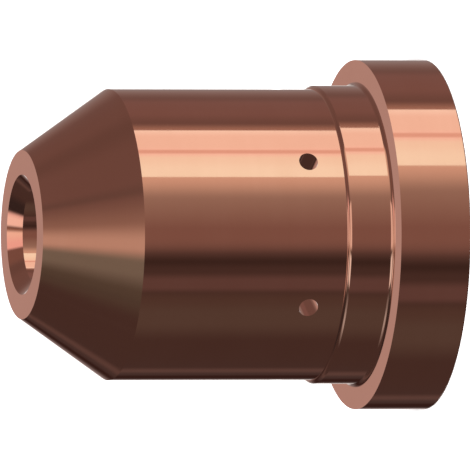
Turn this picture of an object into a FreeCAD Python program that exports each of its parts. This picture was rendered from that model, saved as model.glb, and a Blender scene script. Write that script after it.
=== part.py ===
"""Plasma torch nozzle, turned from one piece of copper.

Frame: millimetres, +Z up along the nozzle's own axis, towards the tip.
The origin is the centre of the rear face, the flat face that the nozzle
stands on and that seats on the swirl ring. The nozzle is one solid of
revolution with a ring of small radial vent holes drilled through its wall.

From the rear face upwards: a clamping flange, a short pilot collar, the plain
body, a taper and the flat tip. The bore inside runs from the swirl ring's
seat, through the arc chamber and its converging cone, to the orifice, and
opens again in a relief bore whose mouth is countersunk in the tip.
"""

import math
import os

import FreeCAD
import Part

V = FreeCAD.Vector

# ---- driving dimensions, mm ------------------------------------------------
LENGTH = 19.00            # overall, rear face to tip

FLANGE_D = 16.00          # clamping flange
FLANGE_T = 3.25
COLLAR_D = 13.65          # pilot collar
COLLAR_TOP_Z = 5.25       # front edge of the collar
BODY_D = 13.30            # plain cylindrical body
CONE_BASE_Z = 14.95       # where the taper starts
TIP_D = 7.72              # flat face at the tip

ROOT_LEG = 0.17           # the flange's root is a 45 degree cone this wide
EDGE_BREAK = 0.03         # broken edge round the flange's rear

MOUTH_D = 5.48            # 45 degree countersink where it meets the tip face
RELIEF_D = 4.30           # relief bore behind the countersink
RELIEF_DEPTH = 3.00       # from the tip face to the end of the relief's wall
RELIEF_HALF_ANGLE = 60.0  # the drill point that ends the relief

ORIFICE_D = 2.00          # arc orifice
ORIFICE_L = 2.20

CHAMBER_HALF_ANGLE = 45.0  # converging cone behind the orifice
CHAMBER_D = 10.00         # arc chamber, round the electrode
CHAMBER_BLEND_R = 0.80    # radius between the chamber's wall and its cone

SEAT_D = 11.20            # counterbore for the swirl ring's spigot
SEAT_DEPTH = 2.00
SEAT_CHAMFER = 0.30       # lead-in at the rear face

VENT_D = 0.88             # radial vent holes
VENT_Z = 7.02
VENT_COUNT = 6            # one every 60 degrees, the first on +X


def point(r, z):
    """A point of the half section, which lies in the XZ plane."""
    return V(r, 0.0, z)


def line(a, b):
    return Part.LineSegment(a, b).toShape()


def arc(a, through, b):
    return Part.Arc(a, through, b).toShape()


def section():
    """The closed half section, anticlockwise from the rear face's outer edge."""
    rf, rc, rb, rt = FLANGE_D / 2, COLLAR_D / 2, BODY_D / 2, TIP_D / 2
    b = EDGE_BREAK
    edges = []

    # flange rim, with its rear edge broken and its front edge sharp, then the
    # front face in to the root
    rim_rear, rim_low = point(rf - b, 0), point(rf, b)
    rim_front = point(rf, FLANGE_T)
    root_outer = point(rc + ROOT_LEG, FLANGE_T)
    edges += [line(rim_rear, rim_low), line(rim_low, rim_front),
              line(rim_front, root_outer)]

    # the root, and the collar up to its sharp front edge
    root_inner = point(rc, FLANGE_T + ROOT_LEG)
    collar_edge = point(rc, COLLAR_TOP_Z)
    edges += [line(root_outer, root_inner), line(root_inner, collar_edge)]

    # the collar steps down to the body in one 45 degree cone
    body_rear = point(rb, COLLAR_TOP_Z + (rc - rb))
    edges.append(line(collar_edge, body_rear))

    # body and taper, with a sharp edge round the tip
    cone_base = point(rb, CONE_BASE_Z)
    tip_outer = point(rt, LENGTH)
    edges += [line(body_rear, cone_base), line(cone_base, tip_outer)]

    # tip face and its countersunk mouth
    rm, rr, ro = MOUTH_D / 2, RELIEF_D / 2, ORIFICE_D / 2
    mouth = point(rm, LENGTH)
    relief_top = point(rr, LENGTH - (rm - rr))
    edges += [line(tip_outer, mouth), line(mouth, relief_top)]

    # relief bore, its drill point and the orifice
    relief_end = point(rr, LENGTH - RELIEF_DEPTH)
    z_orifice_top = relief_end.z - (rr - ro) / math.tan(math.radians(RELIEF_HALF_ANGLE))
    orifice_top = point(ro, z_orifice_top)
    orifice_bottom = point(ro, z_orifice_top - ORIFICE_L)
    edges += [line(relief_top, relief_end), line(relief_end, orifice_top),
              line(orifice_top, orifice_bottom)]

    # converging cone, blended into the chamber's wall
    rch = CHAMBER_D / 2
    ca = math.radians(CHAMBER_HALF_ANGLE)
    z_corner = orifice_bottom.z - (rch - ro) / math.tan(ca)
    t = CHAMBER_BLEND_R * math.tan(ca / 2)          # tangent length at the corner
    cone_end = point(rch - t * math.sin(ca), z_corner + t * math.cos(ca))
    wall_top = point(rch, z_corner - t)
    centre = point(rch - CHAMBER_BLEND_R, z_corner - t)
    mid = point(centre.x + CHAMBER_BLEND_R * math.cos(ca / 2),
                centre.z + CHAMBER_BLEND_R * math.sin(ca / 2))
    edges += [line(orifice_bottom, cone_end), arc(cone_end, mid, wall_top)]

    # chamber wall, swirl ring's seat and its lead-in
    rs = SEAT_D / 2
    chamber_rear = point(rch, SEAT_DEPTH)
    seat_inner = point(rs, SEAT_DEPTH)
    seat_rear = point(rs, SEAT_CHAMFER)
    lead_in = point(rs + SEAT_CHAMFER, 0)
    edges += [line(wall_top, chamber_rear), line(chamber_rear, seat_inner),
              line(seat_inner, seat_rear), line(seat_rear, lead_in),
              line(lead_in, rim_rear)]
    return Part.Wire(edges), z_orifice_top, orifice_bottom.z, wall_top.z


def nozzle():
    wire, orifice_top, orifice_bottom, chamber_top = section()
    solid = Part.Face(wire).revolve(V(0, 0, 0), V(0, 0, 1), 360)
    if solid.ShapeType != "Solid":
        solid = Part.makeSolid(solid.Shells[0])
    inner = SEAT_D / 2 - 2.0
    drills = []
    for i in range(VENT_COUNT):
        a = math.radians(360.0 / VENT_COUNT * i)
        d = V(math.cos(a), math.sin(a), 0)
        drills.append(Part.makeCylinder(
            VENT_D / 2, BODY_D / 2 + 1.0 - inner, V(d.x * inner, d.y * inner, VENT_Z), d))
    solid = solid.cut(drills)
    if solid.ShapeType == "Compound":
        solid = solid.Solids[0]
    print("orifice from z %.3f to z %.3f, chamber wall up to z %.3f" % (
        orifice_bottom, orifice_top, chamber_top))
    return solid


def main():
    os.makedirs("parts", exist_ok=True)
    shape = nozzle()
    if shape.Volume < 0:
        shape.reverse()
    print("nozzle: %s, valid %s, closed %s, volume %.2f mm3, faces %d, box %s" % (
        shape.ShapeType, shape.isValid(), shape.isClosed(), shape.Volume,
        len(shape.Faces), shape.BoundBox))
    shape.exportStep("parts/nozzle.step")


main()
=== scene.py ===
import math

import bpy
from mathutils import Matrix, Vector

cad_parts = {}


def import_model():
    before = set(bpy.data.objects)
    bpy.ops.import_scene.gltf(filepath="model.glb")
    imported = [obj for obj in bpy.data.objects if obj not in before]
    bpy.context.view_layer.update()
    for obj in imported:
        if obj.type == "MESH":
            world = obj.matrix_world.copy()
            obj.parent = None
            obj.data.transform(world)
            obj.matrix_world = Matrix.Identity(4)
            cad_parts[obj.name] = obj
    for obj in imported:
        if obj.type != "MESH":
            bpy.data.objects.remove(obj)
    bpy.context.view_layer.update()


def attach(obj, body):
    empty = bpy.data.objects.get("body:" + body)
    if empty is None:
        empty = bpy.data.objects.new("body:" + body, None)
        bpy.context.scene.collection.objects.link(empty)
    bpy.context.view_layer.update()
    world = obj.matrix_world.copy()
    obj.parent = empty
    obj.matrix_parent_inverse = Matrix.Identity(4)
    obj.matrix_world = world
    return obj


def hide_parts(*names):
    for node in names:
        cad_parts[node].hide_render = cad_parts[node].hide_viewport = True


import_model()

# Plasma torch nozzle: one turned piece of bright copper, standing on its rear
# face on a pale floor. The frame is in metres: +Z along the nozzle's axis,
# towards the tip, and +X through the first vent hole. Lengths below are in
# millimetres until a point is placed.

MM = 0.001
STEPS = 288                  # steps round the axis
VENTS = 6
VENT_R = 0.44
VENT_Z = 7.02
BODY_R = 6.65
COLLAR_R = 6.825
CHAMBER_R = 5.00
LENGTH = 19.00
FLANGE_T = 3.25
COLLAR_TOP = 5.25
CONE_BASE = 14.95
TIP_R = 3.86
MOUTH_R = 2.74
RELIEF_R = 2.15
RELIEF_DEPTH = 3.00
ROOT = 0.17                  # the collar's root is a small 45 degree cone


# ---- the turned profile ----------------------------------------------------

class Profile:
    """The closed half section as rows (r, z), and for the band between each
    row and the next the surface's own normal at both of its edges."""

    def __init__(self, r, z):
        self.rows = [(r, z)]
        self.bands = []
        self.marks = {}

    def _add(self, r, z, n0, n1):
        self.bands.append((n0, n1))
        self.rows.append((r, z))

    def line(self, r, z, steps=1):
        r0, z0 = self.rows[-1]
        length = math.hypot(r - r0, z - z0)
        n = ((z - z0) / length, -(r - r0) / length)
        for i in range(1, steps + 1):
            t = i / steps
            self._add(r0 + (r - r0) * t, z0 + (z - z0) * t, n, n)

    def bevel(self, r, z, n0, n1, steps):
        """A narrow 45 degree cone whose normals turn from n0 to n1, so that it
        takes the light as a corner run over with a radius tool does."""
        r0, z0 = self.rows[-1]

        def normal(t):
            x, y = (n0[i] * (1 - t) + n1[i] * t for i in (0, 1))
            length = math.hypot(x, y)
            return (x / length, y / length)

        for i in range(1, steps + 1):
            t = i / steps
            self._add(r0 + (r - r0) * t, z0 + (z - z0) * t,
                      normal((i - 1) / steps), normal(t))

    def arc(self, cr, cz, radius, a0, a1, steps, hollow):
        """An arc about (cr, cz) from angle a0 to a1, in degrees. hollow means
        that the metal lies outside the circle, as at a root."""
        s = -1.0 if hollow else 1.0
        for i in range(1, steps + 1):
            b0 = math.radians(a0 + (a1 - a0) * (i - 1) / steps)
            b1 = math.radians(a0 + (a1 - a0) * i / steps)
            self._add(cr + radius * math.cos(b1), cz + radius * math.sin(b1),
                      (s * math.cos(b0), s * math.sin(b0)),
                      (s * math.cos(b1), s * math.sin(b1)))

    def mark(self, name):
        self.marks[name] = len(self.rows) - 1


def nozzle_profile():
    p = Profile(7.97, 0.0)
    # flange rim with its rear edge broken, and the flange's front face
    p.line(8.00, 0.03)
    p.line(8.00, FLANGE_T, 8)
    p.line(COLLAR_R + ROOT, FLANGE_T, 4)
    # root up on to the collar, and the collar with its sharp edge
    p.bevel(COLLAR_R, FLANGE_T + ROOT, (0.40, 0.92), (0.985, 0.17), 6)
    p.line(COLLAR_R, COLLAR_TOP, 6)
    # the step down to the body is another root, as deep as the step
    p.bevel(BODY_R, COLLAR_TOP + COLLAR_R - BODY_R, (0.985, 0.17), (0.40, 0.92), 6)
    # body, in three runs so that the vents' patches fit between the rows
    p.line(BODY_R, VENT_Z - 0.87, 2)
    p.mark("body_low")
    p.line(BODY_R, VENT_Z + 0.87, 12)
    p.line(BODY_R, CONE_BASE, 12)
    # taper and tip face
    p.line(TIP_R, LENGTH, 14)
    p.line(MOUTH_R, LENGTH, 4)
    # countersunk mouth, relief bore and its drill point
    p.line(RELIEF_R, LENGTH - (MOUTH_R - RELIEF_R), 5)
    z = LENGTH - RELIEF_DEPTH
    p.line(RELIEF_R, z, 8)
    p.line(1.00, z - (RELIEF_R - 1.00) / math.tan(math.radians(60)), 4)
    # arc orifice
    z = p.rows[-1][1]
    p.line(1.00, z - 2.20, 6)
    # converging cone blended into the chamber's wall
    z -= 2.20
    corner = z - (CHAMBER_R - 1.00)
    t = 0.80 * math.tan(math.radians(22.5))
    s45 = math.sqrt(0.5)
    p.line(CHAMBER_R - t * s45, corner + t * s45, 12)
    p.arc(CHAMBER_R - 0.80, corner - t, 0.80, 45, 0, 8, True)
    # chamber wall, going down, again with rows for the vents
    p.line(CHAMBER_R, VENT_Z + 0.654, 2)
    p.mark("chamber_high")
    p.line(CHAMBER_R, VENT_Z - 0.654, 12)
    p.line(CHAMBER_R, 2.00, 6)
    # swirl ring's seat, its lead-in and the rear face
    p.line(5.60, 2.00, 2)
    p.line(5.60, 0.30, 3)
    p.line(5.90, 0.00)
    p.line(7.97, 0.00, 4)
    # the last row is the first again
    p.rows.pop()
    return p


# ---- the mesh --------------------------------------------------------------

class Builder:
    def __init__(self):
        self.verts = []
        self.faces = []
        self.normals = []          # one for each corner of each face

    def vert(self, co):
        self.verts.append(tuple(c * MM for c in co))
        return len(self.verts) - 1

    def quad(self, ids, normals):
        self.faces.append(ids)
        self.normals.extend(normals)


def radial(a):
    return Vector((math.cos(a), math.sin(a), 0.0))


def tangent(a):
    return Vector((-math.sin(a), math.cos(a), 0.0))


UP = Vector((0.0, 0.0, 1.0))


def nozzle_mesh():
    p = nozzle_profile()
    b = Builder()
    n_rows = len(p.rows)
    step = 2 * math.pi / STEPS
    per_vent = STEPS // VENTS
    half = 6                      # a patch covers this many steps each side

    grid = {}

    def at(k, j):
        key = (k % n_rows, j % STEPS)
        if key not in grid:
            r, z = p.rows[key[0]]
            a = key[1] * step
            grid[key] = b.vert((r * math.cos(a), r * math.sin(a), z))
        return grid[key]

    low = p.marks["body_low"]
    high = p.marks["chamber_high"]
    patches = {k: None for k in list(range(low, low + 12)) + list(range(high, high + 12))}

    def near_vent(j):
        m = (j + half) % per_vent
        return m < 2 * half

    for k, (n0, n1) in enumerate(p.bands):
        for j in range(STEPS):
            if k in patches and near_vent(j):
                continue
            a0, a1 = j * step, (j + 1) * step
            r0, r1 = radial(a0), radial(a1)
            b.quad((at(k, j), at(k, j + 1), at(k + 1, j + 1), at(k + 1, j)),
                   (r0 * n0[0] + UP * n0[1], r1 * n0[0] + UP * n0[1],
                    r1 * n1[0] + UP * n1[1], r0 * n1[0] + UP * n1[1]))

    def border(first, centre, up):
        """The patch's outline, anticlockwise seen from outside the nozzle, as
        (vertex, angle from the vent's middle, height above it)."""
        loop = [(0, j) for j in range(-half, half)]
        loop += [(i, half) for i in range(0, 12)]
        loop += [(12, j) for j in range(half, -half, -1)]
        loop += [(i, -half) for i in range(12, 0, -1)]
        made = []
        for i, j in loop:
            k = first + i if up else first + 12 - i
            made.append((at(k, centre + j), j * step, p.rows[k % n_rows][1] - VENT_Z))
        return made

    rings = (0.0, 0.07, 0.18, 0.36, 0.64)
    for v in range(VENTS):
        centre = v * per_vent
        a = centre * step
        holes = []
        for first, up, radius, outer in ((low, True, BODY_R, True),
                                         (high, False, CHAMBER_R, False)):
            outline = border(first, centre, up)
            count = len(outline)
            made = []             # rings of (vertex, normal)
            sign = 1.0 if outer else -1.0
            for t in rings:
                ring = []
                for m in range(count):
                    g = math.radians(225) + 2 * math.pi * m / count
                    hole_a = math.asin(VENT_R * math.cos(g) / radius)
                    hole_w = VENT_R * math.sin(g)
                    _, edge_a, edge_w = outline[m]
                    angle = hole_a + (edge_a - hole_a) * t
                    w = hole_w + (edge_w - hole_w) * t
                    d = radial(a + angle)
                    ring.append((b.vert(tuple(d * radius + UP * (VENT_Z + w))), d * sign))
                made.append(ring)
            made.append([(i, radial(a + e) * sign) for i, e, _ in outline])
            for inner_ring, outer_ring in zip(made, made[1:]):
                for m in range(count):
                    m1 = (m + 1) % count
                    ids = [inner_ring[m], outer_ring[m], outer_ring[m1], inner_ring[m1]]
                    if not outer:
                        ids.reverse()
                    b.quad(tuple(i for i, _ in ids), tuple(n for _, n in ids))
            holes.append([i for i, _ in made[0]])
        # the drilled wall between the two edges
        outside, inside = holes
        count = len(outside)
        walls = [outside]
        for t in (0.06, 0.35, 0.68):
            walls.append([b.vert(tuple(
                (Vector(b.verts[outside[m]]) * (1 - t) + Vector(b.verts[inside[m]]) * t) / MM))
                for m in range(count)])
        walls.append(inside)
        for first, second in zip(walls, walls[1:]):
            for m in range(count):
                m1 = (m + 1) % count
                g0 = math.radians(225) + 2 * math.pi * m / count
                g1 = math.radians(225) + 2 * math.pi * m1 / count
                w0 = -(tangent(a) * math.cos(g0) + UP * math.sin(g0))
                w1 = -(tangent(a) * math.cos(g1) + UP * math.sin(g1))
                b.quad((first[m], first[m1], second[m1], second[m]), (w0, w1, w1, w0))

    mesh = bpy.data.meshes.new("nozzle_body")
    mesh.from_pydata(b.verts, [], b.faces)
    mesh.polygons.foreach_set("use_smooth", [True] * len(mesh.polygons))
    mesh.update()
    mesh.normals_split_custom_set([tuple(n) for n in b.normals])
    return mesh


nozzle = bpy.data.objects.new("nozzle_body", nozzle_mesh())
bpy.context.scene.collection.objects.link(nozzle)
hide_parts("nozzle")
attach(nozzle, "root")


# ---- node helpers ----------------------------------------------------------

class Nodes:
    """Short names for the nodes used below. Sockets and numbers both do as
    inputs."""

    def __init__(self, tree):
        self.tree = tree
        tree.nodes.clear()

    def new(self, kind, **props):
        n = self.tree.nodes.new(kind)
        for k, v in props.items():
            setattr(n, k, v)
        return n

    def put(self, socket, value):
        if isinstance(value, bpy.types.NodeSocket):
            self.tree.links.new(value, socket)
        elif hasattr(socket.default_value, "__len__") and not hasattr(value, "__len__"):
            socket.default_value = (value,) * len(socket.default_value)
        else:
            socket.default_value = value

    def math(self, op, *args, clamp=False):
        n = self.new("ShaderNodeMath", operation=op, use_clamp=clamp)
        for i, a in enumerate(args):
            self.put(n.inputs[i], a)
        return n.outputs[0]

    def step(self, value, start, end):
        """0 below start, 1 above end, smooth between. Works backwards too."""
        n = self.new("ShaderNodeMapRange", interpolation_type="SMOOTHSTEP")
        if start > end:
            lo, hi, a, b = end, start, 1.0, 0.0
        else:
            lo, hi, a, b = start, end, 0.0, 1.0
        self.put(n.inputs["Value"], value)
        n.inputs["From Min"].default_value = lo
        n.inputs["From Max"].default_value = hi
        n.inputs["To Min"].default_value = a
        n.inputs["To Max"].default_value = b
        return n.outputs["Result"]

    def mix(self, factor, a, b):
        n = self.new("ShaderNodeMix", data_type="RGBA", blend_type="MIX")
        self.put(n.inputs["Factor"], factor)
        self.put(n.inputs[6], a)
        self.put(n.inputs[7], b)
        return n.outputs[2]


# ---- material --------------------------------------------------------------

def copper_material():
    """Bright turned copper. Everything is laid out by the nozzle's own axes:
    fine feed lines run round it, its shine and tint vary a little from place
    to place, and painted shade darkens and dulls the bores away from their openings."""
    m = bpy.data.materials.new("copper")
    m.use_nodes = True
    n = Nodes(m.node_tree)
    out = n.new("ShaderNodeOutputMaterial")
    bsdf = n.new("ShaderNodeBsdfPrincipled")
    coord = n.new("ShaderNodeTexCoord")
    place = n.new("ShaderNodeSeparateXYZ")
    n.put(place.inputs[0], coord.outputs["Object"])
    x, y, z = place.outputs
    facing = n.new("ShaderNodeSeparateXYZ")
    n.put(facing.inputs[0], coord.outputs["Normal"])
    r = n.math("SQRT", n.math("ADD", n.math("MULTIPLY", x, x), n.math("MULTIPLY", y, y)))
    flat = n.step(n.math("ABSOLUTE", facing.outputs[2]), 0.80, 0.90)

    def noise(vector, scale, detail, rough=0.5):
        t = n.new("ShaderNodeTexNoise")
        n.put(t.inputs["Vector"], vector)
        t.inputs["Scale"].default_value = scale
        t.inputs["Detail"].default_value = detail
        t.inputs["Roughness"].default_value = rough
        return t.outputs["Fac"]

    def spread(value, lo, hi, to_lo, to_hi):
        t = n.new("ShaderNodeMapRange", interpolation_type="SMOOTHSTEP")
        n.put(t.inputs["Value"], value)
        t.inputs["From Min"].default_value = lo
        t.inputs["From Max"].default_value = hi
        t.inputs["To Min"].default_value = to_lo
        t.inputs["To Max"].default_value = to_hi
        return t.outputs["Result"]

    # distance along the tool's path: height on the walls and cones, radius on
    # the flats, with a slow drift round the nozzle so that no line is perfect
    feed = n.math("ADD", n.math("MULTIPLY", z, n.math("SUBTRACT", 1.0, flat)),
                  n.math("MULTIPLY", r, flat))
    path = n.new("ShaderNodeCombineXYZ")
    n.put(path.inputs[0], n.math("MULTIPLY", x, 60.0))
    n.put(path.inputs[1], n.math("MULTIPLY", y, 60.0))
    n.put(path.inputs[2], n.math("MULTIPLY", feed, 11000.0))
    lines = noise(path.outputs[0], 1.0, 2.0, 0.65)
    wide = n.new("ShaderNodeCombineXYZ")
    n.put(wide.inputs[0], n.math("MULTIPLY", x, 90.0))
    n.put(wide.inputs[1], n.math("MULTIPLY", y, 90.0))
    n.put(wide.inputs[2], n.math("MULTIPLY", feed, 1500.0))
    bands = noise(wide.outputs[0], 1.0, 2.0)
    cloud = noise(coord.outputs["Object"], 330.0, 3.0)

    # painted shade inside the bores, below the mouth and past the vents' inner ends, standing in for the
    # occlusion that the metal's mirror does not show
    inside = n.math("MULTIPLY", n.step(r, 0.00535, 0.00495), n.step(z, 0.0168, 0.0150))
    inside = n.math("MULTIPLY", inside, n.step(z, -0.0010, 0.0050))

    tint = n.mix(spread(cloud, 0.35, 0.68, 0.0, 1.0), (0.890, 0.447, 0.326, 1.0), (0.868, 0.430, 0.311, 1.0))
    tint = n.mix(spread(bands, 0.30, 0.72, 0.0, 0.5), tint, (0.862, 0.424, 0.304, 1.0))
    # painted shade: the base colour turns dark brown inside the bores
    tint = n.mix(n.math("MULTIPLY", inside, 0.86), tint, (0.150, 0.062, 0.042, 1.0))
    n.put(bsdf.inputs["Base Color"], tint)
    bsdf.inputs["Metallic"].default_value = 1.0
    rough = n.math("ADD", spread(cloud, 0.32, 0.70, 0.036, 0.060), spread(bands, 0.32, 0.70, 0.0, 0.016))
    # the painted shade also dulls the shine inside the bores
    rough = n.math("ADD", rough, n.math("MULTIPLY", inside, 0.22))
    n.put(bsdf.inputs["Roughness"], rough)
    bump = n.new("ShaderNodeBump")
    bump.inputs["Strength"].default_value = 1.0
    bump.inputs["Distance"].default_value = 0.00000012
    n.put(bump.inputs["Height"], lines)
    n.put(bsdf.inputs["Normal"], bump.outputs[0])
    n.tree.links.new(bsdf.outputs[0], out.inputs["Surface"])
    return m


nozzle.data.materials.append(copper_material())


# ---- floor -----------------------------------------------------------------

def floor():
    size = 3.0
    mesh = bpy.data.meshes.new("floor")
    z = -0.00002
    mesh.from_pydata([(-size, -size, z), (size, -size, z), (size, size, z), (-size, size, z)],
                     [], [(0, 1, 2, 3)])
    o = bpy.data.objects.new("floor", mesh)
    bpy.context.scene.collection.objects.link(o)
    m = bpy.data.materials.new("floor")
    m.use_nodes = True
    n = Nodes(m.node_tree)
    out = n.new("ShaderNodeOutputMaterial")
    diffuse = n.new("ShaderNodeBsdfDiffuse")
    diffuse.inputs["Color"].default_value = (0.82, 0.82, 0.82, 1.0)
    n.tree.links.new(diffuse.outputs[0], out.inputs["Surface"])
    mesh.materials.append(m)
    o.visible_glossy = False
    return o


floor()
nozzle.visible_glossy = False


# ---- light -----------------------------------------------------------------

def world():
    """Soft studio light. The floor and the backdrop see even white light. What
    the metal mirrors is a dim warm room with a tall softbox to one side, two
    panels overhead and a glow behind, laid out by direction: azimuth from the
    front of the nozzle towards +X, and elevation, both in degrees."""
    w = bpy.data.worlds.new("studio")
    bpy.context.scene.world = w
    w.use_nodes = True
    n = Nodes(w.node_tree)
    out = n.new("ShaderNodeOutputWorld")
    bg = n.new("ShaderNodeBackground")
    coord = n.new("ShaderNodeTexCoord")
    path = n.new("ShaderNodeLightPath")
    xyz = n.new("ShaderNodeSeparateXYZ")
    n.put(xyz.inputs[0], coord.outputs["Generated"])
    x, y, z = xyz.outputs
    front = n.math("MULTIPLY", y, -1.0)
    deg = 180.0 / math.pi
    az = n.math("MULTIPLY", n.math("ARCTAN2", x, front), deg)
    back = n.math("MULTIPLY", n.math("ARCTAN2", x, y), deg)      # 0 straight behind
    el = n.math("MULTIPLY", n.math("ARCSINE", z), deg)
    height = n.math("MAXIMUM", z, 0.02)
    u = n.math("DIVIDE", x, height)             # on a ceiling one unit up
    v = n.math("DIVIDE", front, height)

    def band(value, a, b, soft_a, soft_b):
        """1 from a to b, with its edges softened over soft_a and soft_b."""
        return n.math("MULTIPLY", n.step(value, a - soft_a / 2, a + soft_a / 2),
                      n.step(value, b + soft_b / 2, b - soft_b / 2))

    def both(*masks):
        m = masks[0]
        for other in masks[1:]:
            m = n.math("MULTIPLY", m, other)
        return m

    def over(mask, colour, under):
        return n.mix(mask, under, (*colour, 1.0) if isinstance(colour, tuple) else colour)

    # the room: dark on one side, brown on the other
    c = n.mix(n.step(az, -20.0, -5.0), (0.067, 0.052, 0.050, 1.0), (0.168, 0.126, 0.121, 1.0))
    low = n.step(el, 42.0, 12.0)                 # things that stand round the walls
    floor_level = n.step(el, 5.0, -10.0)
    # details of the dark side
    leaning = n.math("MULTIPLY_ADD", el, 0.12, n.math("ADD", az, 1.8))
    near = n.mix(n.step(az, -66.0, -52.0), (0.098, 0.090, 0.082, 1.0), (0.088, 0.072, 0.065, 1.0))
    c = over(both(band(az, -84, -48, 22, 12), low), near, c)
    c = over(both(band(az, -45, -33, 6, 8), low), (0.122, 0.092, 0.092), c)
    c = over(both(band(az, -24.5, -19, 7, 6), low), (0.047, 0.036, 0.034), c)
    c = over(both(band(leaning, -142, -134, 8, 8), n.step(el, 38.0, 22.0)), (0.114, 0.088, 0.084), c)
    c = over(both(band(leaning, -162.5, -150, 7, 8), n.step(el, 48.0, 36.0)), (0.036, 0.018, 0.015), c)
    # the front: a glow that climbs towards the softbox
    c = over(both(band(az, -9, 70, 14, 8), low), (0.226, 0.163, 0.149), c)
    ramp = n.math("MULTIPLY", n.math("SUBTRACT", az, 5.0), 1 / 45.0, clamp=True)
    c = over(both(ramp, n.step(az, 74.0, 66.0), low), (0.43, 0.415, 0.37), c)
    c = over(both(n.step(az, 27.5, 47.0), n.step(az, 74.0, 66.0), low), (0.71, 0.635, 0.545), c)
    # the brown side: the softbox's spill and a paler stretch below, darker above
    c = over(both(n.step(az, 100.0, 91.0), n.step(az, 86.0, 90.0), floor_level), (0.38, 0.29, 0.25), c)
    c = over(both(band(az, 106, 134, 14, 12), floor_level), (0.211, 0.153, 0.149), c)
    c = over(both(band(az, 94, 114, 20, 16), n.step(el, 14.0, 26.0)), (0.147, 0.111, 0.106), c)
    c = over(both(band(az, 41, 50, 8, 12), n.step(el, 40.0, 48.0)), (0.143, 0.112, 0.107), c)
    # it lightens towards the back
    behind = n.math("MULTIPLY_ADD", n.step(el, -10.0, 0.0), 4.0,
                    n.math("MULTIPLY_ADD", n.step(el, 4.0, 16.0), 4.0, back))
    c = over(both(n.step(behind, 47.0, 15.0),
                  n.step(back, -19.0, -4.0)), (0.278, 0.238, 0.230), c)
    c = over(both(n.step(back, -24.0, -8.0), n.step(back, 6.0, -4.0), n.step(el, -11.0, -4.0)),
             (0.24, 0.205, 0.20), c)
    # tall softbox with a seam
    box = both(band(az, 46.5, 91.2, 0.5, 0.5), n.step(el, 7.0, 1.0), n.step(el, -75.0, -60.0))
    inside = n.mix(n.step(az, 52.0, 63.0), (1.065, 1.33, 1.21, 1.0), (1.04, 1.21, 1.09, 1.0))
    inside = n.mix(n.step(az, 63.0, 67.5), inside, (1.06, 1.03, 0.98, 1.0))
    inside = n.mix(n.step(az, 71.0, 74.5), inside, (1.02, 1.025, 0.955, 1.0))
    inside = n.mix(n.step(az, 84.0, 91.0), inside, (1.08, 1.20, 1.15, 1.0))
    inside = over(band(az, 67.6, 71.0, 1.6, 1.6), (0.86, 0.70, 0.63), inside)
    c = n.mix(box, c, inside)
    # a broad glow on the ceiling in front, greyer to the dark side
    front_ceiling = both(n.step(v, 0.24, 0.44), n.step(v, 2.4, 1.0))
    c = over(both(band(u, -1.05, -0.62, 0.5, 0.2), n.step(v, -0.15, 0.35), n.step(v, 2.4, 1.0)), (0.092, 0.098, 0.083), c)
    c = over(both(band(u, -0.66, -0.20, 0.30, 0.2), front_ceiling), (0.185, 0.222, 0.199), c)
    c = over(both(band(u, -0.20, 0.33, 0.2, 0.60), front_ceiling), (0.30, 0.245, 0.217), c)
    c = over(both(band(u, -0.275, 0.04, 0.22, 0.30), front_ceiling), (0.54, 0.483, 0.433), c)
    # overhead panels, with a dark gap beside the one and a warm one beside the other
    roof = both(n.step(v, 0.44, 0.29), n.step(v, 0.02, 0.13))
    c = over(both(band(u, -0.86, -0.50, 0.30, 0.1), band(v, -1.0, 0.365, 0.4, 0.15)), (0.037, 0.033, 0.035), c)
    c = over(both(band(u, 0.35, 0.66, 0.04, 0.20), band(v, -1.0, 0.365, 0.4, 0.15)), (0.204, 0.142, 0.128), c)
    c = over(both(band(u, -0.09, 0.215, 0.05, 0.03), band(v, -0.20, 0.08, 0.1, 0.1)), (0.52, 0.43, 0.39), c)
    c = over(both(band(u, -0.05, 0.115, 0.04, 0.03), band(v, -0.85, -0.22, 0.2, 0.1)), (0.82, 0.75, 0.71), c)
    c = over(both(band(u, -0.30, -0.05, 0.10, 0.04), band(v, -1.1, -0.22, 0.3, 0.1)), (0.44, 0.34, 0.30), c)
    c = over(both(band(u, -0.50, -0.185, 0.16, 0.10), roof),
             n.mix(n.step(u, -0.46, -0.36), (0.90, 0.78, 0.79, 1.0), (1.01, 0.965, 0.95, 1.0)), c)
    c = over(both(band(u, -0.16, -0.085, 0.09, 0.10), roof), (0.28, 0.185, 0.145), c)
    c = over(both(band(u, -0.083, 0.3215, 0.11, 0.088), roof),
             n.mix(n.step(u, -0.04, 0.22), (0.98, 0.90, 0.83, 1.0), (0.96, 0.74, 0.75, 1.0)), c)
    # windows in front, to the left and low; they end below the ceiling
    c = over(both(band(az, -11, 25.5, 6, 4), band(el, 6, 47, 14, 5)), (0.86, 0.82, 0.78), c)
    c = over(both(band(az, -41.5, -16.5, 5, 6), band(el, 11, 47, 12, 5)), (0.86, 0.98, 1.0), c)
    c = over(both(band(az, -90, -50, 16, 12), band(el, -4, 33, 8, 8)), (0.24, 0.265, 0.275), c)
    c = over(both(band(az, -80, -62, 12, 12), band(el, -3, 32, 8, 8)), (0.44, 0.53, 0.56), c)
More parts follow.
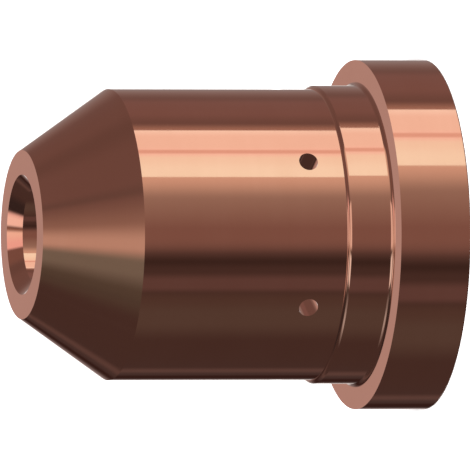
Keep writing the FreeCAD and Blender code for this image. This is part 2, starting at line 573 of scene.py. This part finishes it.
    # glow behind
    c = over(both(band(az, 134, 160, 10, 20), n.step(el, -26.0, -31.0)), (0.285, 0.25, 0.24), c)
    c = over(both(band(back, -12, 13, 12, 12), band(el, 2, 29, 8, 14)), (0.47, 0.37, 0.34), c)
    c = over(both(band(back, -8, 8, 8, 8), band(el, -24, 0, 6, 6)), (0.85, 0.82, 0.80), c)

    even = n.mix(path.outputs["Is Camera Ray"], (0.80, 0.80, 0.80, 1.0), (2.2, 2.2, 2.2, 1.0))
    c = n.mix(path.outputs["Is Glossy Ray"], even, c)
    n.put(bg.inputs["Color"], c)
    n.tree.links.new(bg.outputs[0], out.inputs["Surface"])


world()


def overhead():
    """A soft lamp above the front, which lays the nozzle's shadow behind it.
    The metal mirrors the room only, not this lamp."""
    lamp = bpy.data.lights.new("overhead", "AREA")
    lamp.shape = "DISK"
    lamp.size = 0.09
    lamp.energy = 1.9
    o = bpy.data.objects.new("overhead", lamp)
    bpy.context.scene.collection.objects.link(o)
    e = math.radians(64)
    back = Vector((0.0, -math.cos(e), math.sin(e)))
    o.rotation_mode = "QUATERNION"
    o.rotation_quaternion = back.to_track_quat("Z", "Y")
    o.location = back * 0.35
    o.visible_camera = False
    o.visible_glossy = False


overhead()


# ---- camera ----------------------------------------------------------------

def camera():
    half = math.radians(0.62)
    half_frame = 235 * 0.04572 * MM
    sensor = 36.0
    cam = bpy.data.cameras.new("camera")
    cam.sensor_width = sensor
    cam.lens = sensor / 2 / math.tan(half)
    o = bpy.data.objects.new("camera", cam)
    bpy.context.scene.collection.objects.link(o)
    t = math.radians(15.05)
    back = Vector((0.0, -math.cos(t), math.sin(t)))
    right = Vector((0.0, -math.sin(t), -math.cos(t)))
    up = Vector((1.0, 0.0, 0.0))
    aim = Vector((-0.016, 0.0, 8.935)) * MM
    distance = half_frame / math.tan(half)
    m = Matrix((right, up, back)).transposed().to_4x4()
    m.translation = aim + back * distance
    o.matrix_world = m
    cam.clip_start = distance - 0.1
    cam.clip_end = distance + 3.0
    bpy.context.scene.camera = o


camera()

bpy.context.scene.view_settings.view_transform = "Standard"
